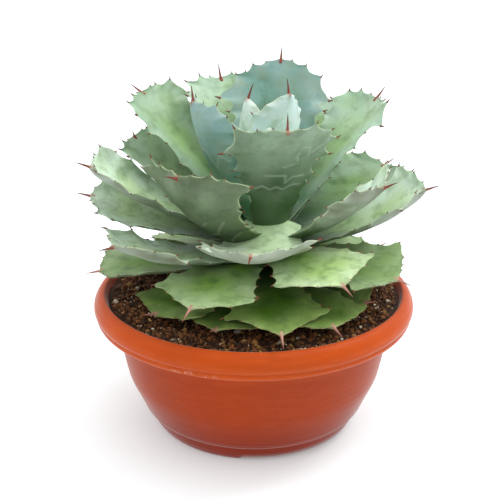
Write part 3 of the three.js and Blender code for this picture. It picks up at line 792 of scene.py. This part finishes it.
def blade_faces(rows, cols):
    """A closed shell's quads and triangles. Its points are the top grid, then the bottom grid without its two
    edges, which it shares with the top."""
    top = np.arange((rows + 1) * (cols + 1)).reshape(rows + 1, cols + 1)
    bottom = top.copy()
    bottom[:, 1:-1] = top.size + np.arange((rows + 1) * (cols - 1)).reshape(rows + 1, cols - 1)

    def grid_quads(index):
        corners = [index[:-1, :-1], index[:-1, 1:], index[1:, 1:], index[1:, :-1]]
        return np.stack(corners, axis=-1).reshape(-1, 4)

    quads, tris = [grid_quads(top), grid_quads(bottom)[:, ::-1]], []
    for row, flip in ((0, True), (rows, False)):
        a, b = top[row], bottom[row]
        strip = np.stack([a[1:-2], a[2:-1], b[2:-1], b[1:-2]], axis=-1)
        corners = np.array([[a[0], a[1], b[1]], [a[-2], a[-1], b[-2]]])
        quads.append(strip[:, ::-1] if flip else strip)
        tris.append(corners[:, ::-1] if flip else corners)
    return np.concatenate(quads), np.concatenate(tris)


def print_ridge(name, leaf, S, U, rng):
    """How strongly each point of the back stands out in the lines printed on it."""
    place = np.stack([S * leaf["length"], U * leaf["width"] / 2], axis=-1)
    ridge = np.zeros_like(S)
    for line in BUD_PRINTS.get(name) or default_prints(rng):
        points = [(a * leaf["length"], b * leaf["width"] / 2) for a, b in line]
        ridge = np.maximum(ridge, bell(line_distance(place, points), 0, 0.8))
    return ridge * smooth((0.97 - np.abs(U)) / 0.1) * (1.0 if name in BUD_PRINTS else 0.45)


def make_blade(shape, name, leaf, rng):
    """The blade with its scalloped, toothed margins, as one closed shell. Returns what the spines need."""
    fine = name in BUD_PRINTS
    rows, cols = (180, 64) if fine else (130, 26)
    s, margin, corner = outline_rows(leaf, rows)
    u = np.sin(np.linspace(-math.pi / 2, math.pi / 2, cols + 1))
    if fine:
        u = (u + 1.5 * np.linspace(-1, 1, cols + 1)) / 2.5
    turn = math.radians(leaf["turn"])
    outward = np.array([math.cos(turn), math.sin(turn), 0.0])
    sideways = np.array([-math.sin(turn), math.cos(turn), 0.0])
    vertical = np.array([0.0, 0.0, 1.0])
    roll = math.radians(leaf["roll"])
    root = axis_at(leaf["height"])

    half = half_width(leaf, s)
    # The margin's own direction, and the way out from it, in the flat blade.
    run = np.stack([np.gradient(half), np.gradient(s * leaf["length"])], axis=1)
    run /= np.linalg.norm(run, axis=1, keepdims=True)
    out_x, out_y = run[:, 1], -run[:, 0]
    teeth = tooth_places(leaf, corner, rng)
    reach, bend = (np.stack(pair, axis=1) for pair in zip(*[lobes(margin, side) for side in teeth]))

    S0, U = np.meshgrid(s, u, indexing="ij")
    H = half[:, None]
    side_of = (U > 0).astype(int)
    tooth = np.take_along_axis(reach, side_of, axis=1)
    tooth_bend = np.take_along_axis(bend, side_of, axis=1)
    near_edge = smooth((np.abs(U) - 0.55) / 0.45) ** 1.5
    X = U * H + np.sign(U) * tooth * near_edge * out_x[:, None]
    S = S0 + tooth * near_edge * out_y[:, None] / leaf["length"]
    cup = leaf["neckCup"] + (leaf["cup"] - leaf["neckCup"]) * smooth(S0 / 0.7)
    rise = cup * H * np.abs(U) ** 2.1
    flat = np.stack([X, S * leaf["length"]], axis=-1)
    seed = int(rng.integers(1 << 30))
    sway = smooth(S0 / 0.5) * (0.9 * waves(flat, 60, seed) + 0.35 * waves(flat, 22, seed + 1))
    frill = 0.4 * waves(flat, 11, seed + 2) * np.abs(U) ** 4 * smooth(S0 / 0.3)
    rise = rise + sway + frill + tooth_bend * near_edge
    thick = leaf["thick"] * (1 - 0.75 * S0)
    body = EDGE * np.sqrt(np.clip(1 - np.abs(U) ** 8, 0, 1)) + thick * (1 - np.abs(U) ** 2.2)
    ridge = print_ridge(name, leaf, S0, U, rng)

    out, up, slope = midrib(leaf, S)
    middle = root + out[..., None] * outward + up[..., None] * vertical
    along = np.cos(slope)[..., None] * outward + np.sin(slope)[..., None] * vertical
    face = -np.sin(slope)[..., None] * outward + np.cos(slope)[..., None] * vertical
    across = math.cos(roll) * sideways + math.sin(roll) * face
    facing = math.cos(roll) * face - math.sin(roll) * sideways

    def place_points(lift):
        return middle + across * X[..., None] + facing * lift[..., None]

    top = place_points(rise)
    bottom = place_points(rise - body - 0.3 * ridge)
    edge_mm = (1 - np.abs(U)) * H + tooth * (1 - near_edge)
    quads, tris = blade_faces(rows, cols)
    colour_top, bloom_top = blade_colour(leaf, S0, U, edge_mm, flat, ridge, True, seed)
    colour_bottom, bloom_bottom = blade_colour(leaf, S0, U, edge_mm, flat, ridge, False, seed)
    # Where each point is in the skin's noise, in mm: each leaf, and its face and back, in a layer of its own.
    place_top = np.stack([X, S * leaf["length"], np.full_like(S, seed % 997)], axis=-1)
    place_bottom = place_top + [0, 0, 40]
    inner = (slice(None), slice(1, -1))
    shape.add(
        np.concatenate([top.reshape(-1, 3), bottom[inner].reshape(-1, 3)]),
        quads, tris,
        tint=np.concatenate([colour_top.reshape(-1, 3), colour_bottom[inner].reshape(-1, 3)]),
        bloom=np.concatenate([bloom_top.ravel(), bloom_bottom[inner].ravel()]),
        horn=0.0,
        leafplace=np.concatenate([place_top.reshape(-1, 3), place_bottom[inner].reshape(-1, 3)]),
    )
    return dict(
        margin=margin, top=top, bottom=bottom, along=along, across=across, facing=facing, teeth=teeth,
        slope=float(slope[-1, cols // 2]), outward=outward, vertical=vertical, out_x=out_x, out_y=out_y,
    )


def blade_colour(leaf, S, U, edge_mm, flat, ridge, is_face, seed):
    """Colour and waxy bloom at each point of the blade's face or back."""
    look = {k: srgb(v) if isinstance(v, str) else v for k, v in LOOKS[leaf["look"]].items()}
    blotch = 0.5 + 0.5 * waves(flat, 26, seed + 5)
    streak = 0.5 + 0.5 * waves(flat * [1.0, 0.25], 5, seed + 6)
    if is_face:
        core = smooth(1.15 - np.abs(U) * 1.15) * smooth((S - 0.05) / 0.35) * smooth((1.05 - S) / 0.35)
        core = np.clip(core * 0.9 + (blotch - 0.5) * 0.7 + (streak - 0.5) * 0.08, 0, 1)
        colour = mix(look["face"], look["core"], core)
        # painted shade with the base's own deeper green: the face takes the near-stem colour toward the stem
        colour = mix(colour, look["root"], 0.95 * smooth((0.7 - S) / 0.66))
        bloom = look["bloom"] * (1 - 0.6 * core)
    else:
        colour = mix(look["back"], look["face"], 0.25 * blotch)
        # painted shade with the base's own deeper green: the back takes the near-stem colour toward the stem
        # and the midrib
        colour = mix(colour, look["root"], smooth((0.68 - S + 0.2 * (1 - np.abs(U))) / 0.55))
        bloom = look["bloom"] * np.clip(0.6 + 0.6 * blotch, 0, 1)
        if leaf["look"] in RUBBED_LOOKS:
            # The bloom is rubbed away below a scalloped line.
            edge = 0.385 + 0.035 * np.abs(np.sin(5.5 * U + 0.5)) + 0.015 * waves(flat, 14, seed + 8)
            colour = mix(colour, look["root"] * 0.8 + look["core"] * 0.2, 0.6 * smooth((edge - S) / 0.035))
        colour = mix(colour, look["back"] * 0.55 + 0.45, 0.35 * ridge)
    broken = np.clip(0.55 + 0.45 * waves(flat, 17, seed + 7), 0, 1)
    margin_line = broken * smooth((0.8 - edge_mm) / 0.7)
    old = leaf["look"] in OLD_LOOKS
    colour = mix(colour, srgb(OLD_MARGIN_COLOUR if old else MARGIN_COLOUR), 0.75 * margin_line)
    near_spine = smooth((S - 0.955) / 0.04) * bell(U * half_width(leaf, S), 0, 1.6)
    spine_foot = (OLD_SPINE_COLOURS if old else SPINE_COLOURS)[0]
    return mix(colour, srgb(spine_foot), 0.8 * near_spine), bloom


def add_thorn(shape, foot, direction, curl, length, radius, colours, sides, rings):
    """A tapering thorn that bends from its direction toward curl."""
    direction = direction / np.linalg.norm(direction)
    helper = np.cross(direction, [0.31, 0.52, 0.79])
    helper /= np.linalg.norm(helper)
    other = np.cross(direction, helper)
    turns = np.arange(sides) * 2 * math.pi / sides
    points, tints, horn = [], [], []
    foot_colour, point_colour = (srgb(c) for c in colours)
    for k in range(rings):
        t = k / (rings - 1)
        centre = foot + direction * length * t + curl * length * t**2
        r = radius * ((1 - t) ** 0.8 * 0.85 + 0.15 * (1 - t) ** 3) + 0.04
        circle = np.cos(turns)[:, None] * helper + np.sin(turns)[:, None] * other
        points.append(centre + circle * r)
        tints.append(np.broadcast_to(foot_colour * (1 - t) + point_colour * t, (sides, 3)))
    points.append(foot[None] - direction * radius * 0.3)
    points.append((foot + direction * length + curl * length + direction * 0.05)[None])
    tints += [foot_colour[None], point_colour[None]]
    points = np.concatenate(points)
    faces = ring_faces(rings, sides), end_fans(rings, sides)
    shape.add(points, *faces, tint=np.concatenate(tints), bloom=0.0, horn=1.0, leafplace=points)


def add_teeth(shape, blade, cup, colours):
    """A horny point on each lobe of the blade's margin."""
    for side, column, sign in ((0, 0, -1), (1, -1, 1)):
        for place, size, bend in blade["teeth"][side]:
            row = int(np.argmin(np.abs(blade["margin"] - place)))
            along, facing = blade["along"][row, column], blade["facing"][row, column]
            direction = sign * blade["out_x"][row] * blade["across"][row, column]
            direction = direction + (blade["out_y"][row] + 0.35) * along
            direction = direction + (0.5 * bend + 0.3 * cup) * facing
            curl = 0.3 * bend * facing + 0.15 * along
            foot = blade["top"][row, column] - direction * 0.6
            add_thorn(shape, foot, direction, curl, 0.34 * size + 1.2, 0.07 * size + 0.26, colours, 6, 4)


def add_end_spine(shape, blade, leaf, colours):
    middle = blade["top"].shape[1] // 2
    hook = blade["slope"] + math.radians(leaf["hook"])
    direction = math.cos(hook) * blade["outward"] + math.sin(hook) * blade["vertical"]
    tip = (blade["top"][-1].mean(axis=0) + blade["bottom"][-1].mean(axis=0)) / 2
    along = blade["along"][-1, middle]
    start = 0.35 * along + 0.65 * direction
    curl = (direction - start) * 0.5
    add_thorn(shape, tip - 3.2 * along, start, curl, 0.85 * leaf["spine"] + 2.4, 1.2, colours, 12, 12)


leaf_seeds = itertools.count(100)


def make_leaf(name, tier, entry):
    leaf = {**LEAF, "tooth": TIER_TOOTH[tier], **entry}
    shape = Shape()
    blade = make_blade(shape, name, leaf, np.random.default_rng(next(leaf_seeds)))
    colours = OLD_SPINE_COLOURS if leaf["look"] in OLD_LOOKS else SPINE_COLOURS
    add_teeth(shape, blade, leaf["cup"], (TOOTH_FOOT_COLOUR, colours[1]))
    add_end_spine(shape, blade, leaf, colours)
    obj = new_piece("plant_" + name, *shape.arrays(), **shape.attributes())
    finish_piece(obj, shared("leaf", leaf_material), "leaf_" + tier, name)


def leaf_material():
    """Waxy leaf skin: each point's colour, painted shade and light included, mottled along the leaf, and paler
    where the bloom is whole.
    """
    n = Nodes("leaf_skin")
    place = n.attribute("leafplace").outputs["Vector"]
    tint = n.attribute("tint").outputs["Color"]
    bloom = n.attribute("bloom").outputs["Fac"]
    horn = n.attribute("horn").outputs["Fac"]
    mottle = n.noise(place, 0.11, 5.0, 0.6)
    speck = n.noise(place, 1.4, 3.0, 0.6)
    streak = n.noise(n.stretched(place, (1.0, 0.12, 1.0)), 0.8, 4.0, 0.6)
    darker = n.mix(tint, n.mix(tint, "#7aa052", 1.0, "MULTIPLY"), 0.9)
    skin = n.mix(tint, darker, n.remap(mottle, 0.46, 0.72, 0.0, 0.8))
    lighter = n.mix(skin, "#dfe9dc", 0.35)
    rubbed = n.noise(place, 0.055, 5.0, 0.65)
    waxy = n.maths("MULTIPLY", bloom, n.remap(rubbed, 0.42, 0.62))
    skin = n.mix(skin, lighter, waxy)
    skin = n.mix(skin, "#f1f3e2", n.maths("MULTIPLY", n.remap(speck, 0.68, 0.8), 0.25))
    colour = n.mix(skin, tint, horn)
    n.feed("Base Color", colour)
    rough = n.remap(streak, 0.3, 0.7, 0.46, 0.6)
    n.feed("Roughness", n.maths("SUBTRACT", rough, n.maths("MULTIPLY", horn, 0.15)))
    n.set(IOR=1.42, Subsurface_Weight=0.05, Subsurface_Scale=0.004, Subsurface_Radius=(0.6, 1.0, 0.3))
    relief = n.bump(streak, 0.00015, 0.4)
    n.feed("Normal", n.bump(speck, 0.0001, 0.4, relief))
    return n.material


def stem_material():
    """Fibrous bark, and the green growing point in the rosette's heart."""
    n = Nodes("stem_skin")
    place = n.position()
    fibre = n.noise(place, 420.0, 4.0, 0.6)
    bark = n.mix("#6b5a33", "#a89c6c", n.remap(fibre, 0.35, 0.7))
    split = n.node("ShaderNodeSeparateXYZ")
    n.join(place, split.inputs[0])
    young = n.remap(split.outputs["Z"], 0.146, 0.152)
    n.feed("Base Color", n.mix(bark, "#a9c99a", young))
    n.set(Roughness=0.85)
    n.feed("Normal", n.bump(fibre, 0.0006, 0.8))
    return n.material


def make_stem():
    """The short stem, ringed with the scars of old leaves."""
    heights, around = np.linspace(STEM_FOOT, STEM_TOP, 120), 40
    turns = np.arange(around) * 2 * math.pi / around
    rings = []
    for z in heights:
        radius = STEM_RADIUS - 6 * smooth((z - STEM_SHOULDER) / 79)
        if z <= STEM_SHOULDER:
            radius = STEM_RADIUS - 5 + 5 * smooth((z - STEM_FOOT) / 14)
        scar = 0.5 * abs(math.sin(z * 0.9)) + 0.25 * np.sin(turns * 5 + z * 0.7)
        r = radius - 0.6 + scar
        rings.append(axis_at(z) + np.stack([r * np.cos(turns), r * np.sin(turns), np.zeros(around)], axis=1))
    points = np.concatenate([*rings, [axis_at(STEM_FOOT - 3), axis_at(STEM_TOP + 2)]])
    quads, fans = ring_faces(len(heights), around), end_fans(len(heights), around)
    obj = new_piece("plant_stem", points, quads, fans)
    finish_piece(obj, stem_material(), "stem", "stem")


# ---- Stage ----


def make_surroundings():
    """A white dome: its strength is front + overhead * z + (1 - z) * (back * y + sides * |x|)."""
    world = bpy.context.scene.world or bpy.data.worlds.new("surroundings")
    bpy.context.scene.world = world
    world.use_nodes = True
    n = Graph(world.node_tree)
    split = n.node("ShaderNodeSeparateXYZ")
    n.join(n.node("ShaderNodeTexCoord").outputs["Generated"], split.inputs[0])
    x, y, z = split.outputs
    up = n.maths("MAXIMUM", z, 0.0)
    back = n.maths("MULTIPLY", n.maths("MAXIMUM", y, 0.0), SKY_BACK)
    sides = n.maths("MULTIPLY", n.maths("ABSOLUTE", x, 0.0), SKY_SIDES)
    low = n.maths("MULTIPLY", n.maths("ADD", back, sides), n.maths("SUBTRACT", 1.0, up))
    strength = n.maths("ADD", n.maths("ADD", low, SKY_FRONT), n.maths("MULTIPLY", up, SKY_OVERHEAD))
    background = n.tree.nodes["Background"]
    n.join(strength, background.inputs["Strength"])
    background.inputs["Color"].default_value = (1, 1, 1, 1)


def make_floor():
    bpy.ops.mesh.primitive_plane_add(size=8, location=(0, 0, 0))
    floor = bpy.context.object
    floor.name = "floor"
    n = Nodes("floor_paper")
    n.set(Base_Color=(0.8, 0.88, 0.9, 1), Roughness=0.9, Emission_Color=(1, 1, 1, 1), Emission_Strength=0.2)
    floor.data.materials.append(n.material)


def make_key_light():
    data = bpy.data.lights.new("key", "AREA")
    data.shape = "DISK"
    data.size = KEY_LIGHT["size"]
    data.energy = KEY_LIGHT["watts"]
    light = bpy.data.objects.new("key", data)
    light.location = KEY_LIGHT["place"]
    light.rotation_euler = (KEY_LIGHT["target"] - light.location).to_track_quat("-Z", "Y").to_euler()
    bpy.context.scene.collection.objects.link(light)


def make_camera():
    data = bpy.data.cameras.new("camera")
    data.lens = CAMERA_LENS
    camera = bpy.data.objects.new("camera", data)
    tilt = math.radians(CAMERA_ELEVATION)
    back = Vector((0, -math.cos(tilt), math.sin(tilt)))
    camera.location = CAMERA_TARGET + back * CAMERA_DISTANCE
    camera.rotation_euler = (math.pi / 2 - tilt, 0, 0)
    bpy.context.scene.collection.objects.link(camera)
    bpy.context.scene.camera = camera
    bpy.context.scene.view_settings.view_transform = "Standard"


make_floor()
make_surroundings()
make_key_light()
make_camera()
make_pot()
make_soil()
make_stem()
for leaf_tier, leaves in LEAVES.items():
    for place, leaf in enumerate(leaves, 1):
        make_leaf(f"leaf_{leaf_tier}_{place}", leaf_tier, leaf)
